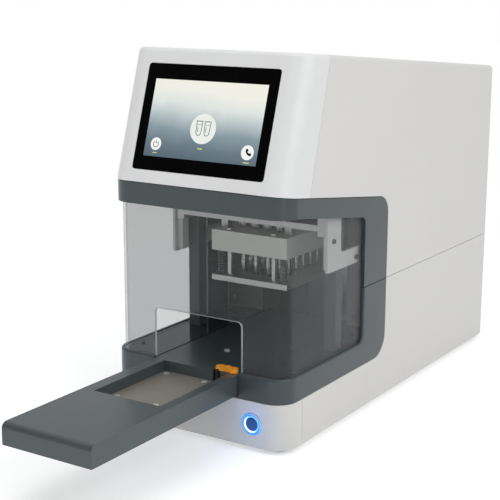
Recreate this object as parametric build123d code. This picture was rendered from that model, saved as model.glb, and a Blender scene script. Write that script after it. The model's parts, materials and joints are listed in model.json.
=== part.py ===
from build123d import *
import math
import os

# Bench-top recapper for racks of 24 screw-cap tubes, in millimetres.
# X runs across the machine, Y from the operator to the rear, Z up from the bench.
# Everything below is drawn with Y = 0 on the front of the dark lower band. When the
# parts are written they are shifted so that the origin is under the middle of the
# machine with its tray out.

# Outside of the machine
body_width = 245.0
body_depth = 571.0
foot_height = 4.5
corner_radius = 26.5
top_slope = 4.7
skin = 3.0
seam_gap = 0.5
edge_radius = 6.0

# Levels and outline of the dark frame
frame_wall = 5.0
lower_panel_top = 59.8
band_top = 89.5
split_height = 159.0
window_height = 270.5
upper_band_top = 296.5
frame_slope = 7.8
window_slope = 8.7
frame_rear = 245.4
window_rear = 185.0
frame_top_corner = 24.0
frame_low_corner = 29.0
window_corner = 9.0
band_edge = 2.5
front_panel_depth = 38.9

# Console with its screen
face_tilt = 17.7
face_toe = 2.0
console_seam_foot = 49.0
console_seam_tilt = 15.3
screen_side_margin = 32.3
screen_height = 125.5
screen_low_edge = 15.7
screen_top_edge = 18.6
screen_corner = 4.0
glass_thickness = 2.8
glass_fit = 0.3
panel_lap = (3.8, 3.75)
panel_thickness = 9.0
panel_rib = (10.0, 2.0)
panel_rib_gap = 30.2
panel_rib_inset = 10.0

# Clear shield
shield_thickness = 3.0
shield_fit = 0.1
shield_lap = 7.0
door_side_gap = 1.9
door_height = 58.3
door_corner = 6.0

# Power button
button_gap = 0.2
button_height = 32.5
ring_outer = 13.4
ring_barrel = 11.6
ring_inner = 10.4
ring_proud = 1.2
button_stem = 4.0
barrel_length = 16.0
barrel_floor = 3.0
cap_depth = 5.0
barrel_nut = (2.0, 3.0)
button_travel = 2.0
running_fit = 0.05

# Base, feet and rear
base_thickness = 5.0
wall_fit = 0.3
foot_radius = 15.0
foot_taper = 2.0
foot_inset = 22.5
foot_front = 25.0
foot_rear_inset = 31.0
opening_side_gap = 27.5
opening_top_gap = 17.0
opening_low = 22.0
rear_sheet = 2.0
rear_lap = 5.0
louvre_edge = 10.0
louvre_height = 3.0
louvre_pitch = 8.0
louvre_count = 9
louvre_gap = 8.0
louvre_inlet_gap = 22.0
inlet_inset = 33.0
inlet_height = 82.0
inlet_flange = (50.0, 24.0)
inlet_body = (28.0, 20.0)
socket_size = (24.0, 16.4)
socket_depth = 16.0
socket_wall = 3.0
inlet_proud = 2.0
pin_size = (2.0, 4.0)
pin_spread = (7.0, 4.0)

# Tray and its nest for the rack
tray_margin = 16.36
tray_travel = 256.0
tray_top = 87.3
tray_bottom = 63.0
tray_gap = 0.9
tray_skirt = 5.0
tray_deck = 4.0
tray_front_radius = 7.0
nest_wall = 5.0
rack_width = 85.48
rack_length = 127.76
rack_slack = 0.25
lever_room = 4.2
nest_rear = -1.5
nest_floor = 71.5
rack_plate_thickness = 3.0
plate_screw_x = (-35.3, 18.9)
plate_screw_y = (-100.3, -8.5)
plate_screw_head = 3.6
plate_screw_shank = 2.0
screw_head_depth = 1.6
deck_screw = (-1.8, 69.8)

# Orange clamping lever
lever_inset = 16.1
lever_behind = 6.5
lever_thickness = 5.0
lever_gap = 0.3
lever_pin = 2.5
lever_pin_depth = 8.0
lever_nose = (-12.0, -3.3)
lever_nose_radius = 3.0
lever_waist = 3.1
lever_root = 5.0
lever_pad = 6.0
lever_pad_reach = 7.5

# Slides, screw and motor under the tray
rail_inset = 24.1
rail_front = 20.0
rail_end_gap = 5.0
rail_notch = (2.0, 3.0, 4.5)
rail_width = 15.0
rail_height = 10.0
rail_bed_width = 30.0
rail_bed_height = 18.0
carriage_length = 40.0
carriage_width = 34.0
carriage_plate = 6.0
carriage_front = 60.0
carriage_rear_gap = 10.0
carriage_end = 4.0
carriage_inset = 2.1
carriage_lift = 1.5
bearing_block = (26.0, 14.0, 12.0)
screw_nut = (28.0, 30.0, 11.0)
tray_screw_radius = 5.0
tray_screw_height = 45.0
tray_motor_size = 42.0
tray_stop_gap = 11.0
tray_motor_length = 36.0
motor_rear_gap = 5.0
motor_chamfer = 4.0
motor_foot = (8.0, 4.0)
motor_cheek = (20.0, 2.0)

# Work chamber
deck_thickness = 3.0
tunnel_gap = 1.3
chamber_rear_gap = 4.6
wall_opening_gap = 3.6
wall_opening_top = 12.0
rear_wall_sheet = 2.0
rear_wall_low = 5.0
motor_gap = 14.0
gantry_plate = 8.0
gantry_front = 16.0
gantry_rear_lap = 9.0
gantry_side_gap = 5.0
gantry_corner = 14.0
column_size = 16.0
column_setback = 29.0
bracket_plate = 4.0
bracket_side_gap = 14.5
bracket_front = 111.0
bracket_leg = 32.0
bracket_foot = 2.5
bracket_arm = 20.0
bracket_length = 103.0
guide_width = 12.0
guide_thickness = 6.0
guide_setback = 13.0
guide_overrun = 4.0

# Capping head, drawn at the top of its travel
tube_pitch = 18.0
tubes_across = 4
tubes_along = 6
head_width = 109.0
head_length = 154.0
tube_height = 44.0
driver_drop = 6.0
spring_length = 31.0
block_height = 26.0
block_edge = 1.0
drum_radius = 8.3
drum_gap = 2.0
drum_height = 10.0
spindle_radius = 3.5
driver_radius = 2.9
driver_length = 6.5
rod_clearance = 0.5
crosshead_thickness = 8.0
carriage_gap = 12.0
column_clearance = 4.0
wing_clearance = 5.0
crosshead_tongue = 50.0
tongue_corner = 6.0
tongue_neck = 8.0
standoff_size = 10.0
standoff_side = 46.0
standoff_inset = 22.0
carriage_block = (11.0, 21.0, 30.0)
carriage_drop = 6.0
lift_travel = 36.0
lift_screw_radius = 5.0
lift_screw_overrun = 15.0
lift_screw_gap = 17.6
lift_screw_edge = 15.0
lift_nut_radius = 11.0
lift_nut_height = 18.0
lift_motor_size = 56.0
lift_motor_height = 60.0
motor_seat = 9.0
spindle_motor_size = 42.0
spindle_motor_height = 40.0
drive_sleeve = 3.4
sleeve_gap = 0.2

# Sprung plate that steadies the caps
plate_thickness = 7.0
plate_travel = 10.0
plate_bore = 5.0
guide_rod_radius = 3.0
guide_rod_side = 32.0
guide_rod_inset = 8.0
guide_rod_head = 3.0
spring_side = 45.0
spring_radius = 4.2
spring_wire = 1.1
spring_turns = 4
spring_runs = 7

# Electronics behind the chamber and over the gantry
supply_length = 160.0
supply_height = 92.0
supply_gap = 6.0
supply_edge = 1.5
terminal_strip = (14.0, 16.0)
terminal_low = 8.0
board_side_gap = 32.5
board_front = 110.0
board_length = 125.0
board_thickness = 1.6
board_stand = 8.0
board_foot = 8.0
board_foot_inset = 2.0
module_size = (30.0, 30.0)
module_heights = (3.0, 12.0)
module_places = ((-60.0, 30.0), (10.0, 40.0))
header_size = (160.0, 12.0, 9.0)
header_inset = 5.0

# Derived places
origin_y = (body_depth - tray_travel) / 2
rear_seat = body_depth - skin - wall_fit / 3
half_width = body_width / 2
frame_inner = half_width - frame_wall
shield_inset = frame_wall + shield_fit
shield_low = tray_top + wall_fit
base_top = foot_height + base_thickness
face_height = screen_low_edge + screen_height + screen_top_edge
front_height = upper_band_top + face_height * math.cos(math.radians(face_tilt))
screen_width = body_width - 2 * screen_side_margin
panel_width = screen_width + 2 * panel_lap[0]
panel_height = screen_height + 2 * panel_lap[1]
panel_rib_side = screen_width / 2 - panel_rib_gap
foot_side = half_width - foot_inset
foot_rear = body_depth - foot_rear_inset
opening_width = body_width - 2 * opening_side_gap
opening_height = split_height - opening_low - opening_top_gap
inlet_x = opening_width / 2 - inlet_inset
louvre_left = louvre_edge - opening_width / 2
louvre_right = inlet_x - inlet_flange[0] / 2 - louvre_inlet_gap
louvre_width = (louvre_right - louvre_left - louvre_gap) / 2
tray_width = rack_width + 2 * tray_margin
door_width = tray_width + 2 * door_side_gap
top_front_y = face_height * math.sin(math.radians(face_tilt)) - face_toe
nest_left = -rack_width / 2 - rack_slack
nest_right = rack_width / 2 + lever_room
nest_front = nest_rear - rack_length - 2 * rack_slack
rack_plate_top = nest_floor + rack_plate_thickness
head_y = (nest_front + rack_slack + rack_length / 2) + tray_travel
head_front = head_y - head_length / 2
head_rear = head_y + head_length / 2
spindle_low = rack_plate_top + tube_height + lift_travel
plate_low = spindle_low + driver_drop
plate_top = plate_low + plate_thickness
block_low = plate_top + spring_length
block_top = block_low + block_height
drum_low = block_top + drum_gap
crosshead_low = block_top + guide_rod_head + plate_travel + rod_clearance
crosshead_top = crosshead_low + crosshead_thickness
guide_low = crosshead_low - carriage_drop - lift_travel - guide_overrun
guide_centre = bracket_front + guide_setback
bracket_low = guide_low - bracket_foot
bracket_reach = bracket_front + bracket_length
bracket_inner = half_width - bracket_side_gap
column_front = bracket_front + column_setback
crosshead_half = bracket_inner - carriage_gap
crosshead_narrow = bracket_inner - column_size - column_clearance
lift_screw_y = head_rear + lift_screw_gap
lift_screw_low = crosshead_top - lift_travel - lift_screw_overrun
crosshead_rear = lift_screw_y + lift_screw_edge
gantry_height = crosshead_top + spindle_motor_height + motor_gap
gantry_rear = lift_screw_y + lift_motor_size / 2 + gantry_rear_lap
lever_pivot = (tray_width / 2 - lever_inset, nest_rear + lever_behind)
tunnel_half = tray_width / 2 + tunnel_gap
button_x = tunnel_half + deck_thickness + button_gap + ring_outer + barrel_nut[0]
chamber_rear = frame_rear + chamber_rear_gap
chamber_rear_half = tunnel_half + wall_opening_gap
rail_side = tray_width / 2 - rail_inset
tray_motor_front = body_depth - skin - motor_rear_gap - tray_motor_length
tray_length = tray_motor_front - tray_stop_gap
lever_low = tray_top + lever_gap
lever_top = lever_low + lever_thickness
gantry_top = gantry_height + gantry_plate
tray_front = -tray_travel
tray_rear = tray_front + tray_length
carriage_rear = tray_rear - carriage_rear_gap


def span(x, y, z):
    """A block given by its (low, high) extent along each axis."""
    size = Box(x[1] - x[0], y[1] - y[0], z[1] - z[0])
    return Pos((x[0] + x[1]) / 2, (y[0] + y[1]) / 2, (z[0] + z[1]) / 2) * size


def post(x, y, z, radius):
    """An upright cylinder between two heights."""
    return Pos(x, y, (z[0] + z[1]) / 2) * Cylinder(radius, z[1] - z[0])


def facet_post(x, y, z, radius, sides=12):
    """An upright prism for small round pieces, its corners on the given radius."""
    return Pos(x, y, z[0]) * extrude(RegularPolygon(radius, sides), z[1] - z[0])


def facet_bore(x, y, z, radius, sides=12):
    """The matching hole: its flats lie on the given radius."""
    return Pos(x, y, z[0]) * extrude(RegularPolygon(radius, sides, major_radius=False), z[1] - z[0])


def mirrored(solid):
    """The piece and its mirror image on the other side of the machine."""
    return [solid, mirror(solid, about=Plane.YZ)]


def rounded_outline(points):
    """A face from (u, v, corner radius) points."""
    face = make_face(Polyline(*[(u, v) for u, v, _ in points], close=True))
    for u, v, radius in points:
        if radius:
            corner = face.vertices().sort_by_distance(Vector(u, v, 0))[0]
            face = fillet(corner, radius)
    return face


def side_prism(points, half=None):
    """A side outline, given as (y, z, corner radius), carried across the machine."""
    half = half_width + 1 if half is None else half
    return extrude(Plane.YZ * rounded_outline(points), half, both=True)


def plan(inset):
    """The body's floor plan drawn inset, with its two rounded front corners."""
    half = half_width - inset
    radius = corner_radius - inset
    rear = body_depth - inset
    corners = [(-half, inset, radius), (half, inset, radius), (half, rear, 0), (-half, rear, 0)]
    return rounded_outline(corners)


def upright_plan(inset):
    """The floor plan carried straight up through the whole machine."""
    return extrude(plan(inset), front_height)


def open_plan(inset):
    """The same plan run on past the rear, to hollow a piece that stays open there."""
    return upright_plan(inset) + span(
        (inset - half_width, half_width - inset),
        (corner_radius, body_depth + 1),
        (0, front_height),
    )


def frame_top_at(y):
    """Height of the dark frame's sloping upper edge."""
    return upper_band_top - y * math.tan(math.radians(frame_slope))


def top_at(y, inset=0.0):
    """Height of the sloping top of the covers."""
    drop = (y - top_front_y) * math.tan(math.radians(top_slope))
    return front_height - drop - inset / math.cos(math.radians(top_slope))


def tilted_plan(inset):
    """The floor plan carried along the slope of the console's face."""
    lean = math.radians(face_tilt)
    slope = Plane(
        origin=(0, -face_toe, upper_band_top),
        x_dir=(1, 0, 0),
        z_dir=(0, math.sin(lean), math.cos(lean)),
    )
    half = half_width - inset
    radius = corner_radius - inset
    reach = body_depth * 1.5
    corners = [(-half, inset, radius), (half, inset, radius), (half, reach, 0), (-half, reach, 0)]
    return extrude(slope * rounded_outline(corners), body_depth, both=True)


def upper_body(inset):
    """The light upper housing, console and cover in one, solid."""
    ahead = -4 * corner_radius
    if inset:
        outline = [
            (ahead, base_top, 0),
            (body_depth - inset, base_top, 0),
            (body_depth - inset, top_at(body_depth, inset), 0),
            (ahead, top_at(ahead, inset), 0),
        ]
    else:
        rear_edge = frame_rear + seam_gap
        outline = [
            (ahead, frame_top_at(ahead) + seam_gap, 0),
            (rear_edge, frame_top_at(rear_edge) + seam_gap, frame_top_corner),
            (rear_edge, split_height + seam_gap / 2, 0),
            (body_depth, split_height + seam_gap / 2, 0),
            (body_depth, top_at(body_depth), 0),
            (ahead, top_at(ahead), 0),
        ]
    solid = side_prism(outline) & tilted_plan(inset)
    if inset:
        return solid
    top = solid.faces().sort_by(Axis.Z)[-1]
    rim = top.edges().sort_by(Axis.Y)[:-1]
    return fillet(rim, edge_radius)


def console_side():
    """Everything in front of the seam between the console and the upper cover."""
    lean = math.tan(math.radians(console_seam_tilt))
    foot = frame_top_at(console_seam_foot)
    low, high = split_height, 2 * front_height
    return [
        (-corner_radius * 4, low),
        (console_seam_foot + (low - foot) * lean, low),
        (console_seam_foot + (high - foot) * lean, high),
        (-corner_radius * 4, high),
    ]


face_plane = Plane(
    origin=(0, -face_toe, upper_band_top),
    x_dir=(1, 0, 0),
    z_dir=(0, -math.cos(math.radians(face_tilt)), math.sin(math.radians(face_tilt))),
)


def on_face(width, height, corner, depth):
    """A rounded slab in the console's face, between two depths behind it."""
    middle = screen_low_edge + screen_height / 2
    sketch = Pos(0, middle) * RectangleRounded(width, height, corner)
    slab = extrude(sketch, depth[1] - depth[0])
    return face_plane * Pos(0, 0, -depth[1]) * slab


def make_upper_shells():
    """Console bezel and upper cover: one hollow moulding parted along the seam."""
    hollow = upper_body(0) - upper_body(skin)
    ahead = side_prism([(y, z, 0) for y, z in console_side()])
    window = on_face(screen_width + glass_fit, screen_height + glass_fit, screen_corner, (-1, 2 * skin))
    console = hollow & ahead
    console -= window
    cover = hollow - Pos(0, seam_gap, 0) * ahead
    return console, cover


def frame_ring(outline, depth):
    """A band of the dark frame: a side outline cut from the body's rounded wall."""
    ring = upright_plan(0) - open_plan(depth)
    return side_prism(outline) & ring


def tray_slot(z):
    """The gap in the front band that the tray runs through."""
    half = tray_width / 2 + tray_gap
    return span((-half, half), (-1, frame_wall + 1), z)


def make_lower_frame():
    outline = [
        (-1, lower_panel_top, 0),
        (frame_rear, lower_panel_top, frame_low_corner),
        (frame_rear, split_height - seam_gap / 2, 0),
        (window_rear, split_height - seam_gap / 2, 0),
        (window_rear, band_top, window_corner),
        (-1, band_top, 0),
    ]
    frame = frame_ring(outline, frame_wall)
    level = frame.edges().filter_by_position(Axis.Z, band_top - 0.01, band_top + 0.01)
    outer = [edge for edge in level if plan_outer(edge)]
    frame = fillet(outer, band_edge)
    return frame - tray_slot((tray_bottom - 1, band_top + 1))


def plan_outer(edge):
    """True for an edge on the outside of the body's wall."""
    half = half_width - frame_wall / 2
    box = edge.bounding_box()
    return max(abs(box.min.X), abs(box.max.X)) > half and edge_is_outer(edge, box)


def edge_is_outer(edge, box):
    """Tells the outer front, side and corner edges from the inner ones."""
    middle = edge.position_at(0.5)
    straight_side = abs(middle.X) > half_width - frame_wall / 2
    straight_front = middle.Y < frame_wall / 2
    reach = math.hypot(
        max(abs(middle.X) - (half_width - corner_radius), 0),
        max(corner_radius - middle.Y, 0),
    )
    return straight_side or straight_front or reach > corner_radius - frame_wall / 2


def make_upper_frame():
    drop = math.tan(math.radians(window_slope))
    knee = corner_radius
    outline = [
        (-1, window_height, 0),
        (knee, window_height, 0),
        (window_rear, window_height - (window_rear - knee) * drop, window_corner),
        (window_rear, split_height + seam_gap / 2, 0),
        (frame_rear, split_height + seam_gap / 2, 0),
        (frame_rear, frame_top_at(frame_rear), frame_top_corner),
        (-1, frame_top_at(-1), 0),
    ]
    return frame_ring(outline, frame_wall)


def make_front_panel():
    outline = [
        (-1, foot_height, 0),
        (front_panel_depth - seam_gap / 2, foot_height, 0),
        (front_panel_depth - seam_gap / 2, lower_panel_top - seam_gap, 0),
        (-1, lower_panel_top - seam_gap, 0),
    ]
    panel = frame_ring(outline, skin)
    return panel - facet_front(ring_barrel + running_fit, (-1, skin + 1), 16)


def on_front(radius, depth):
    """A cylinder along Y at the power button."""
    length = depth[1] - depth[0]
    middle = (depth[0] + depth[1]) / 2
    return Pos(button_x, middle, button_height) * Rot(90, 0, 0) * Cylinder(radius, length)


def facet_front(radius, depth, sides=12):
    """A prism along Y at the power button, for its pieces inside the panel."""
    outline = Plane.XZ * RegularPolygon(radius, sides)
    return Pos(button_x, depth[0], button_height) * extrude(outline, -(depth[1] - depth[0]))


def make_lower_cover():
    low = front_panel_depth + seam_gap / 2
    rear_edge = frame_rear + seam_gap
    outline = [
        (low, foot_height, 0),
        (body_depth + 1, foot_height, 0),
        (body_depth + 1, split_height - seam_gap / 2, 0),
        (rear_edge, split_height - seam_gap / 2, 0),
        (rear_edge, lower_panel_top - seam_gap, frame_low_corner + seam_gap),
        (low, lower_panel_top - seam_gap, 0),
    ]
    cover = side_prism(outline) & (upright_plan(0) - upright_plan(skin))
    opening = span(
        (-opening_width / 2, opening_width / 2),
        (body_depth - 2 * skin, body_depth + 1),
        (opening_low, opening_low + opening_height),
    )
    return cover - opening


def make_rear_panel():
    rear = rear_seat
    half = opening_width / 2 + rear_lap
    high = opening_low + opening_height + rear_lap
    sheet = span((-half, half), (rear - rear_sheet, rear), (opening_low - rear_lap, high))
    first = opening_low + opening_height / 2 - louvre_pitch * (louvre_count - 1) / 2
    for column in range(2):
        x = louvre_left + louvre_width / 2 + column * (louvre_width + louvre_gap)
        for row in range(louvre_count):
            z = first + row * louvre_pitch
            sheet -= span(
                (x - louvre_width / 2, x + louvre_width / 2),
                (rear - 2 * rear_sheet, rear + 1),
                (z - louvre_height / 2, z + louvre_height / 2),
            )
    half_w, half_h = inlet_body[0] / 2 + wall_fit, inlet_body[1] / 2 + wall_fit
    sheet -= span(
        (inlet_x - half_w, inlet_x + half_w),
        (rear - 2 * rear_sheet, rear + 1),
        (inlet_height - half_h, inlet_height + half_h),
    )
    return sheet


def make_power_inlet():
    """Flanged mains inlet: an open socket with three flat pins standing in it."""
    mouth = rear_seat + inlet_proud
    floor = mouth - socket_depth
    flange = Plane.XZ * RectangleRounded(inlet_flange[0], inlet_flange[1], 3)
    plate = Pos(inlet_x, rear_seat, inlet_height) * extrude(flange, -inlet_proud)
    body = span(
        (inlet_x - inlet_body[0] / 2, inlet_x + inlet_body[0] / 2),
        (floor - socket_wall, rear_seat + inlet_proud / 2),
        (inlet_height - inlet_body[1] / 2, inlet_height + inlet_body[1] / 2),
    )
    socket = span(
        (inlet_x - socket_size[0] / 2, inlet_x + socket_size[0] / 2),
        (floor, mouth + 1),
        (inlet_height - socket_size[1] / 2, inlet_height + socket_size[1] / 2),
    )
    inlet = plate + body - socket
    side, rise = pin_spread
    half_w, half_h = pin_size[0] / 2, pin_size[1] / 2
    for x, z in ((-side, 0), (0, rise), (side, 0)):
        inlet += span(
            (inlet_x + x - half_w, inlet_x + x + half_w),
            (floor - 1, mouth - socket_wall),
            (inlet_height + z - half_h, inlet_height + z + half_h),
        )
    return inlet


def make_feet():
    """Four tapered rubber feet."""
    lean = math.degrees(math.atan(foot_taper / foot_height))
    foot = extrude(RegularPolygon(foot_radius - foot_taper, 20), foot_height, taper=-lean)
    places = [(side * foot_side, y) for side in (-1, 1) for y in (foot_front, foot_rear)]
    return [Pos(x, y, 0) * foot for x, y in places]


def make_base_plate():
    plate = extrude(plan(skin + wall_fit), base_thickness)
    return Pos(0, 0, foot_height) * plate


def make_shield():
    """Clear cover bent round the front corners, with the doorway for the rack."""
    drop = math.tan(math.radians(window_slope))
    knee = corner_radius
    rear = window_rear + shield_lap
    rear_top = window_height + shield_lap - (rear - knee) * drop
    outline = [
        (0, shield_low, 0),
        (rear, shield_low, 0),
        (rear, rear_top, 0),
        (knee, window_height + shield_lap, 0),
        (0, window_height + shield_lap, 0),
    ]
    ring = upright_plan(shield_inset) - open_plan(shield_inset + shield_thickness)
    shield = side_prism(outline) & ring
    half = door_width / 2
    top = band_top + door_height
    doorway = rounded_outline(
        [(-half, 0, 0), (half, 0, 0), (half, top, door_corner), (-half, top, door_corner)]
    )
    return shield - extrude(Plane.XZ * doorway, -2 * corner_radius, both=True)


def make_display():
    glass = on_face(screen_width, screen_height, screen_corner, (skin - glass_thickness, skin))
    back = (skin, skin + panel_thickness)
    panel = on_face(panel_width, panel_height, 2, back)
    middle = screen_low_edge + screen_height / 2
    for side in (-1, 1):
        bar = Rectangle(panel_rib[0], panel_height - 2 * panel_rib_inset)
        rib = extrude(Pos(side * panel_rib_side, middle) * bar, panel_rib[1])
        panel += face_plane * Pos(0, 0, -back[1] - panel_rib[1]) * rib
    return glass, panel


def make_button():
    """The lit ring with its threaded barrel, and the cap that travels in it."""
    wider, thick = barrel_nut
    ring = on_front(ring_outer, (-ring_proud, 0)) + facet_front(ring_barrel, (0, barrel_length), 16)
    ring += facet_front(ring_outer + wider, (skin, skin + thick), 6)
    ring -= on_front(ring_inner, (-2 * ring_proud, barrel_length - barrel_floor))
    ring -= facet_front(button_stem + running_fit, (0, barrel_length + 1))
    cap = on_front(ring_inner - running_fit, (-ring_proud, cap_depth))
    cap += facet_front(button_stem, (cap_depth, barrel_length + button_travel))
    return ring, cap


def make_tray():
    half = tray_width / 2
    tray = span((-half, half), (tray_front, tray_rear), (tray_bottom, tray_top))
    upper = tray.edges().filter_by_position(Axis.Z, tray_top - 0.01, tray_top + 0.01)
    tray = fillet(upper.sort_by(Axis.Y)[0], tray_front_radius)
    inner = half - tray_skirt
    ceiling = tray_top - tray_deck
    tray -= span(
        (-inner, inner), (tray_front + tray_front_radius, nest_front - nest_wall), (0, ceiling)
    )
    tray -= span((-inner, inner), (lever_pivot[1] + 6, tray_rear - tray_skirt), (0, ceiling))
    tray -= span((nest_left, nest_right), (nest_front, nest_rear), (nest_floor, tray_top + 1))
    nose_x = lever_pivot[0] + lever_nose[0]
    nose_room = lever_nose_radius + 2
    notch_floor = rack_plate_top
    tray -= span(
        (nose_x - nose_room, nose_x + nose_room),
        (nest_rear - 1, lever_pivot[1] + lever_nose[1] + nose_room),
        (notch_floor, tray_top + 1),
    )
    for x in plate_screw_x:
        for y in plate_screw_y:
            tray -= facet_bore(x, y, (nest_floor - 6, tray_top + 1), plate_screw_shank + running_fit)
    tray -= post(*lever_pivot, (tray_top - lever_pin_depth, tray_top + 1), lever_pin + running_fit)
    tray -= facet_bore(*deck_screw, (0, tray_top + 1), plate_screw_shank + running_fit)
    return tray


def make_rack_plate():
    fit = rack_slack
    plate = span(
        (nest_left + fit, nest_right - fit),
        (nest_front + fit, nest_rear - fit),
        (nest_floor, rack_plate_top),
    )
    for x in plate_screw_x:
        for y in plate_screw_y:
            plate -= facet_bore(x, y, (0, tray_top), plate_screw_shank + running_fit)
            seat = (rack_plate_top - screw_head_depth, tray_top)
            plate -= facet_bore(x, y, seat, plate_screw_head + running_fit)
    return plate


def make_tray_fasteners():
    """Rack plate screws, the screw in the tray's deck and the lever's pivot pin."""
    pieces = []
    head, shank = plate_screw_head, plate_screw_shank
    seat = rack_plate_top - screw_head_depth
    for x in plate_screw_x:
        for y in plate_screw_y:
            screw = facet_post(x, y, (nest_floor - 5.5, seat), shank)
            pieces.append(screw + facet_post(x, y, (seat, rack_plate_top), head))
    screw = facet_post(*deck_screw, (tray_top - tray_deck, tray_top), shank)
    pieces.append(screw + facet_post(*deck_screw, (tray_top, tray_top + 2), head))
    head_low = lever_top + running_fit
    pin = post(*lever_pivot, (tray_top - lever_pin_depth + 0.5, head_low), lever_pin)
    pieces.append(pin + facet_post(*lever_pivot, (head_low, head_low + 1.2), lever_pin + 1.8))
    return pieces


def make_lever():
    """Hourglass lever: a nose at one end, a rimmed thumb pad at the other."""
    nose_x, nose_y = lever_nose
    root_x = nose_x + 1.5
    pad_half = lever_pad - 0.8
    waist_point = (-2, lever_waist)
    with_root = Pos(root_x, 0) * Circle(lever_root)
    pad = Pos(lever_pad_reach, 0) * Ellipse(lever_pad, pad_half)
    waist = make_face(
        [
            Line((root_x, -lever_root), (root_x, lever_root)),
            ThreePointArc((root_x, lever_root), waist_point, (lever_pad_reach, pad_half)),
            Line((lever_pad_reach, pad_half), (lever_pad_reach, -pad_half)),
            ThreePointArc((lever_pad_reach, -pad_half), (-2, -lever_waist), (root_x, -lever_root)),
        ]
    )
    arm = extrude(waist + with_root + pad, lever_thickness)
    dish = Pos(lever_pad_reach + 0.6, 0) * Ellipse(lever_pad - 1.9, lever_pad - 2.7)
    arm -= Pos(0, 0, lever_thickness - 1.2) * extrude(dish, 2)
    arm -= post(0, 0, (-1, lever_thickness + 1), lever_pin + running_fit)
    nose_low = rack_plate_top + 1 - lever_low
    nose = post(nose_x, nose_y, (nose_low, lever_thickness / 2), lever_nose_radius)
    return Pos(lever_pivot[0], lever_pivot[1], lever_low) * (arm + nose)


def make_tray_rails():
    """Two profile rails on their beds, and the front bearing of the tray screw."""
    bed_top = base_top + rail_bed_height
    rear = tray_motor_front - rail_end_gap
    cut, low, high = rail_notch
    pieces = []
    for side in (-1, 1):
        x = side * rail_side
        half = rail_bed_width / 2
        bed = span((x - half, x + half), (rail_front, rear), (base_top, bed_top))
        neck = rail_width / 2
        rail = rounded_outline(
            [
                (x - neck, bed_top, 0),
                (x + neck, bed_top, 0),
                (x + neck, bed_top + low, 0),
                (x + neck - cut, bed_top + high, 0),
                (x + neck - cut, bed_top + rail_height - high, 0),
                (x + neck, bed_top + rail_height - low, 0),
                (x + neck, bed_top + rail_height, 0),
                (x - neck, bed_top + rail_height, 0),
                (x - neck, bed_top + rail_height - low, 0),
                (x - neck + cut, bed_top + rail_height - high, 0),
                (x - neck + cut, bed_top + high, 0),
                (x - neck, bed_top + low, 0),
            ]
        )
        pieces.append(bed)
        length = rear - rail_front
        pieces.append(Pos(0, rail_front, 0) * extrude(Plane.XZ * rail, -length))
    width, depth, rise = bearing_block
    front = rail_front + 2
    bearing = span((-width / 2, width / 2), (front, front + depth), (base_top, tray_screw_height + rise))
    bore = along_y(0, tray_screw_height, (front - 1, front + depth + 1), tray_screw_radius + running_fit)
    pieces.append(bearing - bore)
    return pieces


def along_y(x, z, y, radius):
    """A lying cylinder along Y."""
    return Pos(x, (y[0] + y[1]) / 2, z) * Rot(90, 0, 0) * Cylinder(radius, y[1] - y[0])


def make_tray_carriages():
    """Plate under the tray, four rail carriages and the screw's nut."""
    rail_top = base_top + rail_bed_height + rail_height
    plate_low_face = tray_bottom - carriage_plate
    half = tray_width / 2 - carriage_inset
    plate = span((-half, half), (carriage_front, carriage_rear), (plate_low_face, tray_bottom))
    pieces = [plate]
    low = rail_top - rail_height + carriage_lift
    for side in (-1, 1):
        for y in (carriage_front + carriage_end, carriage_rear - carriage_length - carriage_end):
            x = side * rail_side
            half = carriage_width / 2
            block = span((x - half, x + half), (y, y + carriage_length), (low, plate_low_face))
            groove = rail_width / 2 + running_fit
            along = (y - 1, y + carriage_length + 1)
            block -= span((x - groove, x + groove), along, (0, rail_top + running_fit))
            pieces.append(block)
    width, depth, drop = screw_nut
    rear = carriage_rear - 2 * carriage_end
    nut = span((-width / 2, width / 2), (rear - depth, rear), (tray_screw_height - drop, plate_low_face))
    pieces.append(nut - along_y(0, tray_screw_height, (0, body_depth), tray_screw_radius + running_fit))
    return pieces


def make_tray_screw():
    ends = (rail_front + 4, tray_motor_front + motor_seat - 1)
    return along_y(0, tray_screw_height, ends, tray_screw_radius)


def make_tray_motor():
    """Stepping motor with end bells, on its foot at the rear of the rails."""
    half = tray_motor_size / 2
    rear = body_depth - skin - motor_rear_gap
    body = span((-half, half), (tray_motor_front, rear), (tray_screw_height - half, tray_screw_height + half))
    body = chamfer(body.edges().filter_by(Axis.Y), motor_chamfer)
    wider, thick = motor_foot
    foot = span((-half - wider, half + wider), (tray_motor_front, rear), (base_top, base_top + thick))
    width, inset = motor_cheek
    cheek = span(
        (-width / 2, width / 2),
        (tray_motor_front + inset, rear - inset),
        (base_top, tray_screw_height - half + 1),
    )
    seat = (tray_motor_front - 1, tray_motor_front + motor_seat)
    return body + foot + cheek - along_y(0, tray_screw_height, seat, tray_screw_radius + running_fit)


def make_chamber_floor():
    """Deck beside the tray on each side, folded down to the base as a tunnel wall."""
    outer = frame_inner - wall_fit
    front = frame_wall + wall_fit
    rear = chamber_rear - 0.1
    points = [
        (tunnel_half, base_top, 0),
        (tunnel_half + deck_thickness, base_top, 0),
        (tunnel_half + deck_thickness, tray_top - deck_thickness, 4),
        (outer, tray_top - deck_thickness, 0),
        (outer, tray_top, 0),
        (tunnel_half, tray_top, 1.5),
    ]
    deck = Pos(0, front, 0) * extrude(Plane.XZ * rounded_outline(points), -(rear - front))
    deck = deck & upright_plan(frame_wall + wall_fit)
    inner = bracket_inner - column_size - wall_fit
    deck -= span(
        (inner, bracket_inner + wall_fit),
        (column_front - wall_fit, column_front + column_size + wall_fit),
        (0, tray_top + 1),
    )
    return mirrored(deck)


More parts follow.
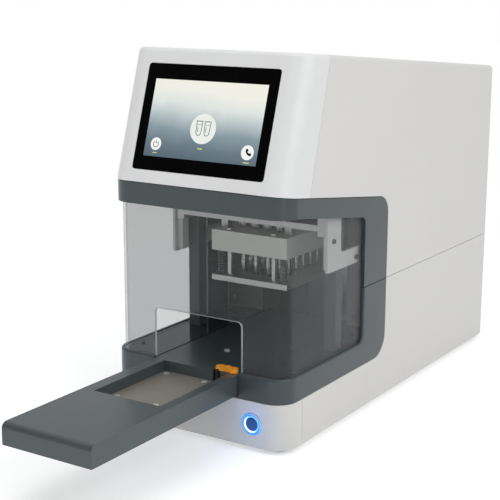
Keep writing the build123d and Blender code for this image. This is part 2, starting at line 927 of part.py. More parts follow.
def make_rear_wall():
    """Sheet behind the chamber, open in the middle for the head and the tray."""
    half = half_width - skin - wall_fit
    low = lower_panel_top + rear_wall_low
    high = gantry_height - wall_fit
    inner_top = gantry_height - wall_opening_top
    outline = [
        (-half, low, 0),
        (-chamber_rear_half, low, 0),
        (-chamber_rear_half, inner_top, 6),
        (chamber_rear_half, inner_top, 6),
        (chamber_rear_half, low, 0),
        (half, low, 0),
        (half, high, 4),
        (-half, high, 4),
    ]
    sheet = extrude(Plane.XZ * rounded_outline(outline), -rear_wall_sheet)
    return Pos(0, chamber_rear, 0) * sheet


def make_rail_brackets():
    """Each side: the cranked plate and the guide rail screwed to its leg."""
    rear = bracket_front + bracket_leg
    outline = [
        (bracket_front, bracket_low, 3),
        (bracket_reach, bracket_low, 3),
        (bracket_reach, bracket_low + bracket_arm, 3),
        (rear, bracket_low + bracket_arm, 6),
        (rear, gantry_height, 0),
        (bracket_front, gantry_height, 0),
    ]
    plate = extrude(Plane.YZ * rounded_outline(outline), bracket_plate)
    plate = Pos(bracket_inner, 0, 0) * plate
    half = guide_width / 2
    rail = span(
        (bracket_inner - guide_thickness, bracket_inner),
        (guide_centre - half, guide_centre + half),
        (guide_low, gantry_height),
    )
    return mirrored(plate) + mirrored(rail)


def make_gantry():
    """Two square columns under a top plate: it carries the brackets and the lift."""
    half = half_width - skin - gantry_side_gap
    top = span((-half, half), (gantry_front, gantry_rear), (gantry_height, gantry_top))
    top = chamfer(top.edges().filter_by(Axis.Z), gantry_corner)
    column = span(
        (bracket_inner - column_size, bracket_inner),
        (column_front, column_front + column_size),
        (base_top, gantry_height + 1),
    )
    gantry = top
    for piece in mirrored(column):
        gantry += piece
    return gantry - post(0, lift_screw_y, (0, front_height), lift_screw_radius + 3)


def make_crosshead():
    """Head carrier: plate, four stand-offs, two guide carriages and the lift nut."""
    wing = column_front - wing_clearance
    neck = chamber_rear - tongue_neck
    outline = [
        (-crosshead_half, head_front, 0),
        (crosshead_half, head_front, 0),
        (crosshead_half, wing, 0),
        (crosshead_narrow, wing, 0),
        (crosshead_narrow, neck, 0),
        (crosshead_tongue, neck, 0),
        (crosshead_tongue, crosshead_rear, tongue_corner),
        (-crosshead_tongue, crosshead_rear, tongue_corner),
        (-crosshead_tongue, neck, 0),
        (-crosshead_narrow, neck, 0),
        (-crosshead_narrow, wing, 0),
        (-crosshead_half, wing, 0),
    ]
    plate = Pos(0, 0, crosshead_low) * extrude(rounded_outline(outline), crosshead_thickness)
    plate -= post(0, lift_screw_y, (0, front_height), lift_screw_radius + 1)
    plate -= facet_bore(0, head_y, (0, front_height), drive_sleeve + sleeve_gap)
    half = standoff_size / 2
    standoffs = [
        span((x - half, x + half), (y - half, y + half), (block_top, crosshead_low))
        for x in (-standoff_side, standoff_side)
        for y in (head_front + standoff_inset, head_rear - standoff_inset)
    ]
    length, width, height = carriage_block
    low = crosshead_low - carriage_drop
    block = span(
        (crosshead_half, crosshead_half + length),
        (guide_centre - width / 2, guide_centre + width / 2),
        (low, low + height),
    )
    groove = guide_width / 2 + running_fit
    block -= span(
        (bracket_inner - guide_thickness - running_fit, bracket_inner),
        (guide_centre - groove, guide_centre + groove),
        (0, front_height),
    )
    nut = facet_post(0, lift_screw_y, (crosshead_top, crosshead_top + lift_nut_height), lift_nut_radius)
    nut -= post(0, lift_screw_y, (0, front_height), lift_screw_radius + running_fit)
    return [plate, nut] + standoffs + mirrored(block)


def make_lift_screw():
    high = gantry_top + motor_seat - 1
    return post(0, lift_screw_y, (lift_screw_low, high), lift_screw_radius)


def make_lift_motor():
    half = lift_motor_size / 2
    high = gantry_top + lift_motor_height
    body = span((-half, half), (lift_screw_y - half, lift_screw_y + half), (gantry_top, high))
    body = chamfer(body.edges().filter_by(Axis.Z), motor_chamfer)
    seat = (gantry_top - 1, gantry_top + motor_seat)
    return body - post(0, lift_screw_y, seat, lift_screw_radius + running_fit)


def make_spindle_motor():
    """Motor on the crosshead; its sleeve carries the drive down into the block."""
    half = spindle_motor_size / 2
    body = span(
        (-half, half),
        (head_y - half, head_y + half),
        (crosshead_top, crosshead_top + spindle_motor_height),
    )
    body = chamfer(body.edges().filter_by(Axis.Z), motor_chamfer)
    return body + facet_post(0, head_y, (block_top, crosshead_top + 1), drive_sleeve)


def spindle_places():
    """The 24 tube positions under the head, from the front left."""
    places = []
    for row in range(tubes_along):
        for column in range(tubes_across):
            x = (column - (tubes_across - 1) / 2) * tube_pitch
            y = head_y + (row - (tubes_along - 1) / 2) * tube_pitch
            places.append((x, y))
    return places


def make_spindle():
    """Slip clutch drum on a hexagonal bar with its stepped cap driver, on the Z axis."""
    driver_top = spindle_low + driver_length
    drum = facet_post(0, 0, (drum_low, drum_low + drum_height), drum_radius)
    bar = facet_post(0, 0, (driver_top, drum_low), spindle_radius, 6)
    driver = facet_post(0, 0, (spindle_low, driver_top), driver_radius, 6)
    return drum + bar + driver


def guide_rod_places():
    """The plate's four guide rods."""
    near, far = head_front + guide_rod_inset, head_rear - guide_rod_inset
    return [(x, y) for x in (-guide_rod_side, guide_rod_side) for y in (near, far)]


def spring_places():
    """The plate's four springs, outboard of the rods."""
    near, far = head_front + guide_rod_inset, head_rear - guide_rod_inset
    return [(x, y) for x in (-spring_side, spring_side) for y in (near, far)]


def make_spindle_block():
    """White gearbox block with a plain bearing bore for each spindle."""
    half = head_width / 2
    block = span((-half, half), (head_front, head_rear), (block_low, block_top))
    block = chamfer(block.edges().filter_by(Axis.Z), block_edge)
    for x, y in spindle_places():
        block -= facet_bore(x, y, (0, front_height), spindle_radius + running_fit)
    for x, y in guide_rod_places():
        block -= facet_bore(x, y, (0, front_height), guide_rod_radius + running_fit)
    return block


def make_pressure_plate():
    """Sprung plate hung on four headed rods, pierced for the spindles."""
    half = head_width / 2
    plate = span((-half, half), (head_front, head_rear), (plate_low, plate_top))
    plate = chamfer(plate.edges().filter_by(Axis.Z), block_edge)
    for x, y in spindle_places():
        plate -= facet_bore(x, y, (0, front_height), plate_bore, 8)
    for x, y in guide_rod_places():
        plate += facet_post(x, y, (plate_top - 1, block_top), guide_rod_radius)
        plate += facet_post(x, y, (block_top, block_top + guide_rod_head), guide_rod_radius + 2)
    return plate


def make_springs():
    """Coil springs between the block and the sprung plate, each coil in straight runs."""
    height = block_low - plate_top - 2 * spring_wire
    runs = round(spring_turns * spring_runs)
    points = []
    for step in range(runs + 1):
        turn = 2 * math.pi * step / spring_runs
        points.append((spring_radius * math.cos(turn), spring_radius * math.sin(turn), height * step / runs))
    coil = Polyline(*points)
    start = Plane(origin=coil @ 0, z_dir=coil % 0)
    wire = sweep(start * Rectangle(spring_wire, spring_wire), path=coil, transition=Transition.RIGHT)
    low = plate_top + spring_wire
    return [Pos(x, y, low) * wire for x, y in spring_places()]


def make_power_supply():
    """Cased supply on the base, with its terminal strip and vent slots."""
    inner = tunnel_half + supply_gap
    outer = half_width - skin - supply_gap
    front = foot_rear - supply_length
    case = span((inner, outer), (front, foot_rear), (base_top, base_top + supply_height))
    case = chamfer(case.edges().filter_by(Axis.Y), supply_edge)
    low = base_top + terminal_low
    strip = span(
        (inner + supply_gap, outer - supply_gap),
        (front - terminal_strip[0], front + 1),
        (low, low + terminal_strip[1]),
    )
    return mirror(case + strip, about=Plane.YZ)


def make_control_board():
    """Board on four stand-offs over the gantry, with its main packages."""
    low = gantry_top + board_stand
    top = low + board_thickness
    half = half_width - board_side_gap
    rear = board_front + board_length
    board = span((-half, half), (board_front, rear), (low, top))
    foot = board_foot / 2
    across = half - board_foot_inset - foot
    along = (board_front + board_foot_inset + foot, rear - board_foot_inset - foot)
    for x in (-across, across):
        for y in along:
            board += span((x - foot, x + foot), (y - foot, y + foot), (gantry_top, low + 1))
    width, depth = module_size
    for (x, y), height in zip(module_places, module_heights):
        place = ((x, x + width), (board_front + y, board_front + y + depth))
        board += span(*place, (top, top + height))
    width, depth, height = header_size
    place = ((-width / 2, width / 2), (rear - header_inset - depth, rear - header_inset))
    return board + span(*place, (top, top + height))


def write(name, pieces):
    """Shift a sub-part into the machine's own frame and write its file."""
    if not isinstance(pieces, list):
        pieces = [pieces]
    solids = []
    for piece in pieces:
        solids += piece.solids()
    placed = [Pos(0, -origin_y, 0) * solid for solid in solids]
    shape = placed[0] if len(placed) == 1 else Compound(children=placed)
    export_step(shape, f"parts/{name}.step")


os.makedirs("parts", exist_ok=True)

console, cover = make_upper_shells()
glass, display = make_display()
ring, button = make_button()

write("base_plate", make_base_plate())
write("rubber_feet", make_feet())
write("front_panel", make_front_panel())
write("lower_cover", make_lower_cover())
write("lower_frame", make_lower_frame())
write("upper_frame", make_upper_frame())
write("shield", make_shield())
write("console_bezel", console)
write("upper_cover", cover)
write("rear_panel", make_rear_panel())
write("power_inlet", make_power_inlet())
write("display_glass", glass)
write("display_panel", display)
write("button_ring", ring)
write("power_button", button)
write("chamber_floor", make_chamber_floor())
write("rear_wall", make_rear_wall())
write("rail_brackets", make_rail_brackets())
write("gantry", make_gantry())
write("tray_rails", make_tray_rails())
write("tray_screw", make_tray_screw())
write("tray_motor", make_tray_motor())
write("tray_carriages", make_tray_carriages())
write("tray", make_tray())
write("rack_plate", make_rack_plate())
write("tray_fasteners", make_tray_fasteners())
write("rack_lever", make_lever())
write("crosshead", make_crosshead())
write("lift_screw", make_lift_screw())
write("lift_motor", make_lift_motor())
write("spindle_motor", make_spindle_motor())
write("spindle_block", make_spindle_block())
write("pressure_plate", make_pressure_plate())
write("head_springs", make_springs())
write("power_supply", make_power_supply())
write("control_board", make_control_board())

spindle = make_spindle()
for number, (x, y) in enumerate(spindle_places(), start=1):
    write(f"spindle_{number:02d}", Pos(x, y, 0) * spindle)
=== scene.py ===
import math

import bmesh
import bpy
from mathutils import Matrix, Vector
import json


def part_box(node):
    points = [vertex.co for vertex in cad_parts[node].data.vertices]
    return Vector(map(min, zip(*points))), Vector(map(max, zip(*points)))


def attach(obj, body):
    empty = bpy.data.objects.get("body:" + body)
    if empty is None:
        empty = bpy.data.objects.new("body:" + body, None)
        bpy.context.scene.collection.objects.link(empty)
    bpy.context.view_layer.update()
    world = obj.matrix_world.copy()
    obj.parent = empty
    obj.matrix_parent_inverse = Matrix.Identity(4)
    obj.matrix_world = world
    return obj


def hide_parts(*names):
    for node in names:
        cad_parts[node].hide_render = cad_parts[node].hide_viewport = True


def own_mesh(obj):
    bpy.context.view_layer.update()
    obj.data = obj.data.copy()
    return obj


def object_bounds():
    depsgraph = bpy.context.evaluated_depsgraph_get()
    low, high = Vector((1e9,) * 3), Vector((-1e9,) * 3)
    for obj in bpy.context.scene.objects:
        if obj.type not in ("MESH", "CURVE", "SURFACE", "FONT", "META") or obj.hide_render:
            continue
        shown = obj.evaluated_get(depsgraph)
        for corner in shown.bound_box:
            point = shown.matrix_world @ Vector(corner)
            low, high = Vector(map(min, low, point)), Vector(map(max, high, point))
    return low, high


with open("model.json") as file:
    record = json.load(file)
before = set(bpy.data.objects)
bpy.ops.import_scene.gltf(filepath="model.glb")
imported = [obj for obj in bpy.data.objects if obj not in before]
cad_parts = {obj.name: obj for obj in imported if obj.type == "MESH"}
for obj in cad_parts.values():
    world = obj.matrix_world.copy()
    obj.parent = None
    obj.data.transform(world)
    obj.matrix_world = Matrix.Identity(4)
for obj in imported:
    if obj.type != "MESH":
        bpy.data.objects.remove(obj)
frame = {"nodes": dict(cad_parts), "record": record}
cad_low, cad_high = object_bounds()
mm = 0.001


# Shader maths


class Value:
    """One output in a finish's node tree, used in plain expressions."""

    def __init__(self, finish, socket):
        self.finish = finish
        self.socket = socket

    def maths(self, operation, *terms):
        return self.finish.node("ShaderNodeMath", {"operation": operation}, enumerate(terms))

    def __add__(self, other):
        return self.maths("ADD", self, other)

    __radd__ = __add__

    def __mul__(self, other):
        return self.maths("MULTIPLY", self, other)

    __rmul__ = __mul__

    def __sub__(self, other):
        return self.maths("SUBTRACT", self, other)

    def __rsub__(self, other):
        return self.maths("SUBTRACT", other, self)

    def __truediv__(self, other):
        return self.maths("DIVIDE", self, other)

    def __pow__(self, other):
        return self.maths("POWER", self, other)

    def larger(self, other):
        return self.maths("MAXIMUM", self, other)

    def smaller(self, other):
        return self.maths("MINIMUM", self, other)

    def fade(self, start, end):
        """0 below start, 1 above end, smooth between them."""
        settings = {"interpolation_type": "SMOOTHSTEP"}
        return self.finish.node("ShaderNodeMapRange", settings, {"Value": self, 1: start, 2: end})


class Finish:
    """A material and its node tree."""

    def __init__(self, name):
        self.material = bpy.data.materials.new(name)
        self.material.use_nodes = True
        self.tree = self.material.node_tree
        self.tree.nodes.clear()

    def node(self, kind, settings=None, inputs=(), out=0):
        made = self.tree.nodes.new(kind)
        for key, value in (settings or {}).items():
            if key == "stops":
                self.set_stops(made.color_ramp, value)
            else:
                setattr(made, key, value)
        for key, value in dict(inputs).items():
            if isinstance(value, Value):
                self.tree.links.new(value.socket, made.inputs[key])
            else:
                made.inputs[key].default_value = value
        return Value(self, made.outputs[out])

    def set_stops(self, ramp, stops):
        while len(ramp.elements) < len(stops):
            ramp.elements.new(1.0)
        for element, (place, colour) in zip(ramp.elements, stops):
            element.position = place
            element.color = (*colour, 1.0)

    def place(self, scale=(1.0, 1.0, 1.0), move=(0.0, 0.0, 0.0), turn=(0.0, 0.0, 0.0)):
        """The piece's own coordinates in metres: scaled, then moved; if turned, measured from move."""
        here = self.node("ShaderNodeTexCoord", out="Object")
        settings = {"vector_type": "TEXTURE" if any(turn) else "POINT"}
        inputs = {"Vector": here, "Location": move, "Rotation": turn, "Scale": scale}
        return self.node("ShaderNodeMapping", settings, inputs)

    def axes(self, vector):
        parts = self.node("ShaderNodeSeparateXYZ", inputs={0: vector})
        node = parts.socket.node
        return [Value(self, output) for output in node.outputs]

    def noise(self, vector, scale, detail=2.0, roughness=0.5):
        inputs = {"Vector": vector, "Scale": scale, "Detail": detail, "Roughness": roughness}
        return self.node("ShaderNodeTexNoise", {}, inputs)

    def blend(self, factor, first, second):
        """Two colours mixed; either may be a link."""
        first = first if isinstance(first, Value) else (*first, 1.0)
        second = second if isinstance(second, Value) else (*second, 1.0)
        inputs = {"Factor": factor, 6: first, 7: second}
        return self.node("ShaderNodeMix", {"data_type": "RGBA"}, inputs, out=2)

    def bump(self, height, depth, strength=1.0):
        return self.node("ShaderNodeBump", {}, {"Height": height, "Distance": depth, "Strength": strength})

    def body(self, colour, roughness, normal=None, **more):
        """A Principled shader; further sockets by name, with _ for a space."""
        inputs = {"Roughness": roughness}
        inputs["Base Color"] = colour if isinstance(colour, Value) else (*colour, 1.0)
        if normal is not None:
            inputs["Normal"] = normal
        for key, value in more.items():
            inputs[key.replace("_", " ")] = value
        return self.node("ShaderNodeBsdfPrincipled", {}, inputs)

    def done(self, shader):
        end = self.tree.nodes.new("ShaderNodeOutputMaterial")
        self.tree.links.new(shader.socket, end.inputs["Surface"])
        return self.material


def shaded(colour, factor):
    return tuple(min(channel * factor, 1.0) for channel in colour)


# Finishes


def paint(name, colour, roughness, grain=1100.0, depth=0.016, tone=0.035, **more):
    """Baked powder paint: soft clouds of tone over a fine orange peel."""
    finish = Finish(name)
    here = finish.place()
    clouds = finish.noise(here, 7.0, 3.0)
    peel = finish.noise(here, grain, 2.0)
    colour_here = finish.blend(clouds, shaded(colour, 1 - tone), shaded(colour, 1 + tone))
    rough_here = roughness + (peel - 0.5) * 0.12 + (clouds - 0.5) * 0.08
    normal = finish.bump(peel, depth * mm, 0.5)
    return finish.done(finish.body(colour_here, rough_here, normal, **more))


def moulding(name, colour, roughness, grain=2200.0, depth=0.012, tone=0.03, **more):
    """Moulded plastic: an even spark-eroded grain of fine cells."""
    finish = Finish(name)
    here = finish.place()
    settings = {"feature": "F1", "distance": "EUCLIDEAN"}
    cells = finish.node("ShaderNodeTexVoronoi", settings, {"Vector": here, "Scale": grain})
    clouds = finish.noise(here, 11.0, 2.0)
    colour_here = finish.blend(clouds, shaded(colour, 1 - tone), shaded(colour, 1 + tone))
    rough_here = roughness + (cells - 0.4) * 0.1 + (clouds - 0.5) * 0.06
    normal = finish.bump(cells, depth * mm, 0.45)
    return finish.done(finish.body(colour_here, rough_here, normal, **more))


def brushed(name, colour, roughness, grain=(1.0, 0.02, 1.0), lines=2600.0, tone=0.12, metallic=1.0):
    """Metal with fine parallel brush lines; the grain's small axis is along them."""
    finish = Finish(name)
    along = finish.place(scale=grain)
    streaks = finish.noise(along, lines, 4.0, 0.7)
    broad = finish.noise(finish.place(), 14.0, 2.0)
    mixed = streaks * 0.75 + broad * 0.25
    colour_here = finish.blend(mixed.fade(0.3, 0.7), shaded(colour, 1 - tone), shaded(colour, 1 + tone))
    rough_here = roughness + (streaks - 0.5) * 0.3
    normal = finish.bump(streaks, 0.006 * mm, 0.4)
    return finish.done(finish.body(colour_here, rough_here, normal, Metallic=metallic))


def turned(name, colour, roughness, metallic=1.0):
    """Ground or turned metal: rings of tool marks up the Z axis and faint staining."""
    finish = Finish(name)
    rings = finish.noise(finish.place(scale=(0.05, 0.05, 1.0)), 5200.0, 3.0, 0.6)
    stain = finish.noise(finish.place(), 90.0, 2.0)
    colour_here = finish.blend(stain, shaded(colour, 0.82), shaded(colour, 1.1))
    rough_here = roughness + (rings - 0.5) * 0.2
    normal = finish.bump(rings, 0.004 * mm, 0.35)
    return finish.done(finish.body(colour_here, rough_here, normal, Metallic=metallic))


def clear_sheet():
    """Slightly smoky acrylic: most light passes, gloss grows towards a glancing view."""
    finish = Finish("smoky_acrylic")
    smears = finish.noise(finish.place(), 16.0, 3.0)
    through = finish.node("ShaderNodeBsdfTransparent", {}, {"Color": (0.845, 0.85, 0.85, 1.0)})
    gloss = finish.body((0.6, 0.61, 0.62), 0.04 + smears * 0.05, IOR=1.49)
    edge = finish.node("ShaderNodeLayerWeight", {}, {"Blend": 0.5}, out="Facing")
    amount = edge ** 4.0 * 0.6 + smears * 0.015 + 0.04
    inputs = {0: amount.smaller(0.85), 1: through, 2: gloss}
    return finish.done(finish.node("ShaderNodeMixShader", {}, inputs))


def cut_edge():
    """Polished cut edge of the acrylic, coloured pale as a painted highlight for the light it gathers."""
    finish = Finish("acrylic_edge_painted_highlight")
    saw = finish.noise(finish.place(), 700.0, 2.0)
    # Pale grey colour along the cut edges: a painted highlight, not the clear sheet's own colour.
    tone = finish.blend(saw, (0.5, 0.54, 0.55), (0.78, 0.81, 0.82))
    return finish.done(finish.body(tone, 0.12 + saw * 0.1, IOR=1.49))


def black_glass():
    finish = Finish("black_glass")
    smears = finish.noise(finish.place(), 24.0, 4.0)
    tone = finish.blend(smears, (0.0006, 0.0006, 0.0008), (0.0014, 0.0014, 0.0016))
    return finish.done(finish.body(tone, 0.035 + smears * 0.05, IOR=1.5))


housing_paint = paint("housing_paint", (0.7, 0.69, 0.675), 0.42)
console_moulding = moulding("console_moulding", (0.77, 0.77, 0.77), 0.36)
slate_moulding = moulding("slate_moulding", (0.046, 0.06, 0.065), 0.3, tone=0.05)
tray_paint = paint("tray_paint", (0.058, 0.072, 0.076), 0.3, grain=900.0, depth=0.008, tone=0.05)
deck_paint = paint("deck_paint", (0.04, 0.047, 0.05), 0.14, grain=400.0, depth=0.0006, tone=0.06)
smoky_acrylic = clear_sheet()
acrylic_edge_painted_highlight = cut_edge()
screen_black = black_glass()
black_moulding = moulding("black_moulding", (0.018, 0.018, 0.02), 0.5)
soft_rubber = moulding("soft_rubber", (0.012, 0.012, 0.012), 0.75, grain=1500.0, depth=0.03)
nest_metal = brushed("nest_metal", (0.3, 0.285, 0.25), 0.45, metallic=0.45)
milled_aluminium = brushed("milled_aluminium", (0.66, 0.66, 0.64), 0.38, grain=(0.02, 1.0, 1.0), lines=1800.0)
ground_steel = turned("ground_steel", (0.6, 0.6, 0.59), 0.24)
bright_zinc = turned("bright_zinc", (0.86, 0.86, 0.84), 0.36, metallic=0.6)
dark_steel = turned("dark_steel", (0.16, 0.16, 0.16), 0.34)
bracket_paint = paint("bracket_paint", (0.86, 0.86, 0.85), 0.4)
column_paint = paint("column_paint", (0.075, 0.082, 0.085), 0.42, depth=0.006)
wall_paint = paint("wall_paint", (0.2, 0.2, 0.2), 0.38)
white_acetal = moulding("white_acetal", (0.88, 0.88, 0.84), 0.36, grain=1700.0, depth=0.008)
orange_moulding = moulding("orange_moulding", (0.9, 0.36, 0.03), 0.3, grain=1500.0)
spring_wire = turned("spring_wire", (0.42, 0.42, 0.42), 0.28)
motor_black = paint("motor_black", (0.02, 0.02, 0.022), 0.45)
board_green = paint("board_green", (0.02, 0.1, 0.05), 0.35, grain=500.0)
galvanised = brushed("galvanised", (0.55, 0.56, 0.57), 0.42, grain=(1.0, 1.0, 0.05), lines=400.0)


# Pieces made from the solids


def new_piece(name, mesh, finish, body):
    """An object at the origin that rides on a body."""
    piece = bpy.data.objects.new(name, mesh)
    bpy.context.collection.objects.link(piece)
    if finish is not None:
        mesh.materials.clear()
        mesh.materials.append(finish)
    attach(piece, body)
    return piece


def mesh_from(bm, name, smooth=35.0):
    """A finished mesh with its flat faces kept crisp."""
    bmesh.ops.recalc_face_normals(bm, faces=bm.faces)
    mesh = bpy.data.meshes.new(name)
    bm.to_mesh(mesh)
    bm.free()
    mesh.shade_smooth()
    mesh.set_sharp_from_angle(angle=math.radians(smooth))
    return mesh


def node_shell(node):
    """The node's triangles merged into one clean shell of larger faces."""
    bm = bmesh.new()
    bm.from_mesh(frame["nodes"][node].data)
    bmesh.ops.remove_doubles(bm, verts=bm.verts, dist=0.002 * mm)
    bmesh.ops.dissolve_limit(bm, angle_limit=math.radians(0.6), verts=bm.verts, edges=bm.edges)
    return bm


node_body = {node: body for body, nodes in frame["record"]["behaviour"]["bodies"].items() for node in nodes}


def dress(node, finish, edge=0.5, segments=2):
    """Stand a piece with softened edges in for a node whose form is right."""
    mesh = mesh_from(node_shell(node), node + "_form")
    piece = new_piece(node + "_dressed", mesh, finish, node_body[node])
    soften = piece.modifiers.new("soft_edges", "BEVEL")
    soften.width = edge * mm
    soften.segments = segments
    soften.limit_method = "ANGLE"
    soften.angle_limit = math.radians(38)
    soften.harden_normals = True
    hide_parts(node)
    return piece


def finish_node(node, finish):
    """Give a solid that is shown as it is its material."""
    shown = frame["nodes"][node]
    shown.data.materials.clear()
    shown.data.materials.append(finish)


dress("upper_cover", housing_paint, 0.5)
dress("console_bezel", console_moulding, 0.6)
dress("lower_cover", housing_paint, 0.5)
dress("front_panel", housing_paint, 0.4)
dress("lower_frame", slate_moulding, 0.6)
dress("upper_frame", slate_moulding, 0.6)
dress("display_glass", screen_black, 0.3)
dress("tray", tray_paint, 0.8, 3)
dress("rack_plate", nest_metal, 0.25)
dress("chamber_floor", deck_paint, 0.4)
dress("rear_wall", wall_paint, 0.3)
dress("rail_brackets", bracket_paint, 0.4)
dress("gantry", column_paint, 0.5)
dress("crosshead", milled_aluminium, 0.5)
dress("spindle_block", white_acetal, 0.6)
dress("pressure_plate", milled_aluminium, 0.3)
dress("rear_panel", housing_paint, 0.15)
dress("power_inlet", black_moulding, 0.3)
dress("base_plate", galvanised, 0.3)
dress("tray_motor", motor_black, 0.5)
dress("lift_motor", motor_black, 0.5)
dress("spindle_motor", motor_black, 0.5)
dress("power_supply", galvanised, 0.4)
dress("control_board", board_green, 0.1)
dress("display_panel", galvanised, 0.3)
dress("tray_rails", ground_steel, 0.2)
dress("tray_carriages", milled_aluminium, 0.4)
finish_node("tray_screw", ground_steel)
finish_node("lift_screw", ground_steel)


def dress_shield():
    """The clear cover, with its cut edges picked out from its panes by a pale painted highlight."""
    bm = node_shell("shield")
    doorway_half, panes_end = 64 * mm, 30 * mm
    for face in bm.faces:
        centre, normal = face.calc_center_median(), face.normal
        level = abs(normal.z) > 0.5
        doorway = abs(centre.x) < doorway_half and abs(normal.y) < 0.5
        rear_end = normal.y > 0.9 and centre.y > panes_end
        face.material_index = int(level or doorway or rear_end)
    mesh = mesh_from(bm, "shield_form")
    mesh.materials.append(smoky_acrylic)
    mesh.materials.append(acrylic_edge_painted_highlight)
    piece = new_piece("shield_dressed", mesh, None, "chassis")
    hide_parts("shield")


dress_shield()


def dress_lever():
    """Orange lever; the nose below the arm, which presses on the rack, is dark steel as painted shade under
    the arm.
    """
    lever = dress("rack_lever", orange_moulding, 0.7, 3)
    arm_thickness, slack = 5.0, 0.5
    arm_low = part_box("rack_lever")[1].z - arm_thickness * mm
    lever.data.materials.append(dark_steel)
    for face in lever.data.polygons:
        # Faces below the arm get dark steel: painted shade on the nose in the notch under the arm.
        face.material_index = int(face.center.z < arm_low - slack * mm)


dress_lever()


# Drawing


def rings_about_z(bm, profile, sides):
    """A ring of corners at each (radius, height) step, in millimetres."""
    angles = [2 * math.pi * step / sides for step in range(sides)]
    return [
        [
            bm.verts.new((radius * mm * math.cos(angle), radius * mm * math.sin(angle), height * mm))
            for angle in angles
        ]
        for radius, height in profile
    ]


def skin(bm, rings):
    """Four-sided faces from each ring to the next."""
    sides = len(rings[0])
    for low, high in zip(rings, rings[1:]):
        for step in range(sides):
            after = (step + 1) % sides
            bm.faces.new((low[step], low[after], high[after], high[step]))


def lathe(profile, sides=32):
    """A turned piece about Z from (radius, height) steps, closed at both ends."""
    bm = bmesh.new()
    rings = rings_about_z(bm, profile, sides)
    skin(bm, rings)
    bm.faces.new(reversed(rings[0]))
    bm.faces.new(rings[-1])
    return bm


def hoop(profile, sides):
    """A turned ring about Z, open in the middle, whose last step meets its first."""
    bm = bmesh.new()
    rings = rings_about_z(bm, profile, sides)
    skin(bm, rings + rings[:1])
    return bm


def placed(bm, place, axis=(0, 0, 1)):
    """Turn a piece drawn about Z so that Z lies along axis, and move it."""
    turn = Vector(axis).to_track_quat("Z", "Y").to_matrix().to_4x4()
    bmesh.ops.transform(bm, matrix=Matrix.Translation(place) @ turn, verts=bm.verts)
    return bm


def joined(parts):
    """Several drawn pieces as one."""
    whole = bmesh.new()
    for part in parts:
        mesh = bpy.data.meshes.new("part")
        part.to_mesh(mesh)
        part.free()
        whole.from_mesh(mesh)
        bpy.data.meshes.remove(mesh)
    return whole


def slab(outline, low, high):
    """A flat plate from an outline in (u, v) millimetres, between two heights."""
    bm = bmesh.new()
    bottom = [bm.verts.new((u * mm, v * mm, low * mm)) for u, v in outline]
    top = [bm.verts.new((u * mm, v * mm, high * mm)) for u, v in outline]
    bm.faces.new(reversed(bottom))
    bm.faces.new(top)
    count = len(outline)
    for step in range(count):
        after = (step + 1) % count
        bm.faces.new((bottom[step], bottom[after], top[after], top[step]))
    return bm


def arc(centre, radius, start, end, steps):
    """Points round part of a circle, in degrees."""
    points = []
    for step in range(steps + 1):
        angle = math.radians(start + (end - start) * step / steps)
        points.append((centre[0] + radius * math.cos(angle), centre[1] + radius * math.sin(angle)))
    return points


def stroke(points, width, low, high):
    """A line of even width along points, as a thin plate."""
    left, right = [], []
    last = len(points) - 1
    for step, (u, v) in enumerate(points):
        before, after = points[max(step - 1, 0)], points[min(step + 1, last)]
        du, dv = after[0] - before[0], after[1] - before[1]
        length = math.hypot(du, dv)
        left.append((u - dv / length * width / 2, v + du / length * width / 2))
        right.append((u + dv / length * width / 2, v - du / length * width / 2))
    return slab(right + left[::-1], low, high)


# Repeats made with Geometry Nodes


def node_group(name, inputs):
    """An empty tree with a geometry input, the named inputs and a geometry output."""
    group = bpy.data.node_groups.new(name, "GeometryNodeTree")
    group.interface.new_socket("Geometry", in_out="INPUT", socket_type="NodeSocketGeometry")
    for label, kind in inputs:
        group.interface.new_socket(label, in_out="INPUT", socket_type=kind)
    group.interface.new_socket("Geometry", in_out="OUTPUT", socket_type="NodeSocketGeometry")
    return group, group.nodes.new("NodeGroupInput"), group.nodes.new("NodeGroupOutput")


def wire(group, *links):
    """Link (node, output, node, input) rows."""
    for source, output, target, entry in links:
        group.links.new(source.outputs[output], target.inputs[entry])


def ended(group, start, end, source, output):
    """Finish a tree with Realize Instances and Set Material."""
    real = group.nodes.new("GeometryNodeRealizeInstances")
    coat = group.nodes.new("GeometryNodeSetMaterial")
    wire(
        group,
        (source, output, real, "Geometry"),
        (real, "Geometry", coat, "Geometry"),
        (start, "Material", coat, "Material"),
        (coat, "Geometry", end, "Geometry"),
    )
    return group


def make_row_tree():
    """A copy of one part at each point, turned so that its Z follows the point's facing."""
    inputs = [("Part", "NodeSocketObject"), ("Material", "NodeSocketMaterial")]
    group, start, end = node_group("parts_at_points", inputs)
    part = group.nodes.new("GeometryNodeObjectInfo")
    facing = group.nodes.new("GeometryNodeInputNamedAttribute")
    facing.data_type = "FLOAT_VECTOR"
    facing.inputs["Name"].default_value = "facing"
    turn = group.nodes.new("FunctionNodeAlignRotationToVector")
    turn.axis = "Z"
    copies = group.nodes.new("GeometryNodeInstanceOnPoints")
    wire(
        group,
        (start, "Part", part, "Object"),
        (start, "Geometry", copies, "Points"),
        (part, "Geometry", copies, "Instance"),
        (facing, "Attribute", turn, "Vector"),
        (turn, "Rotation", copies, "Rotation"),
    )
    return ended(group, start, end, copies, "Instances")


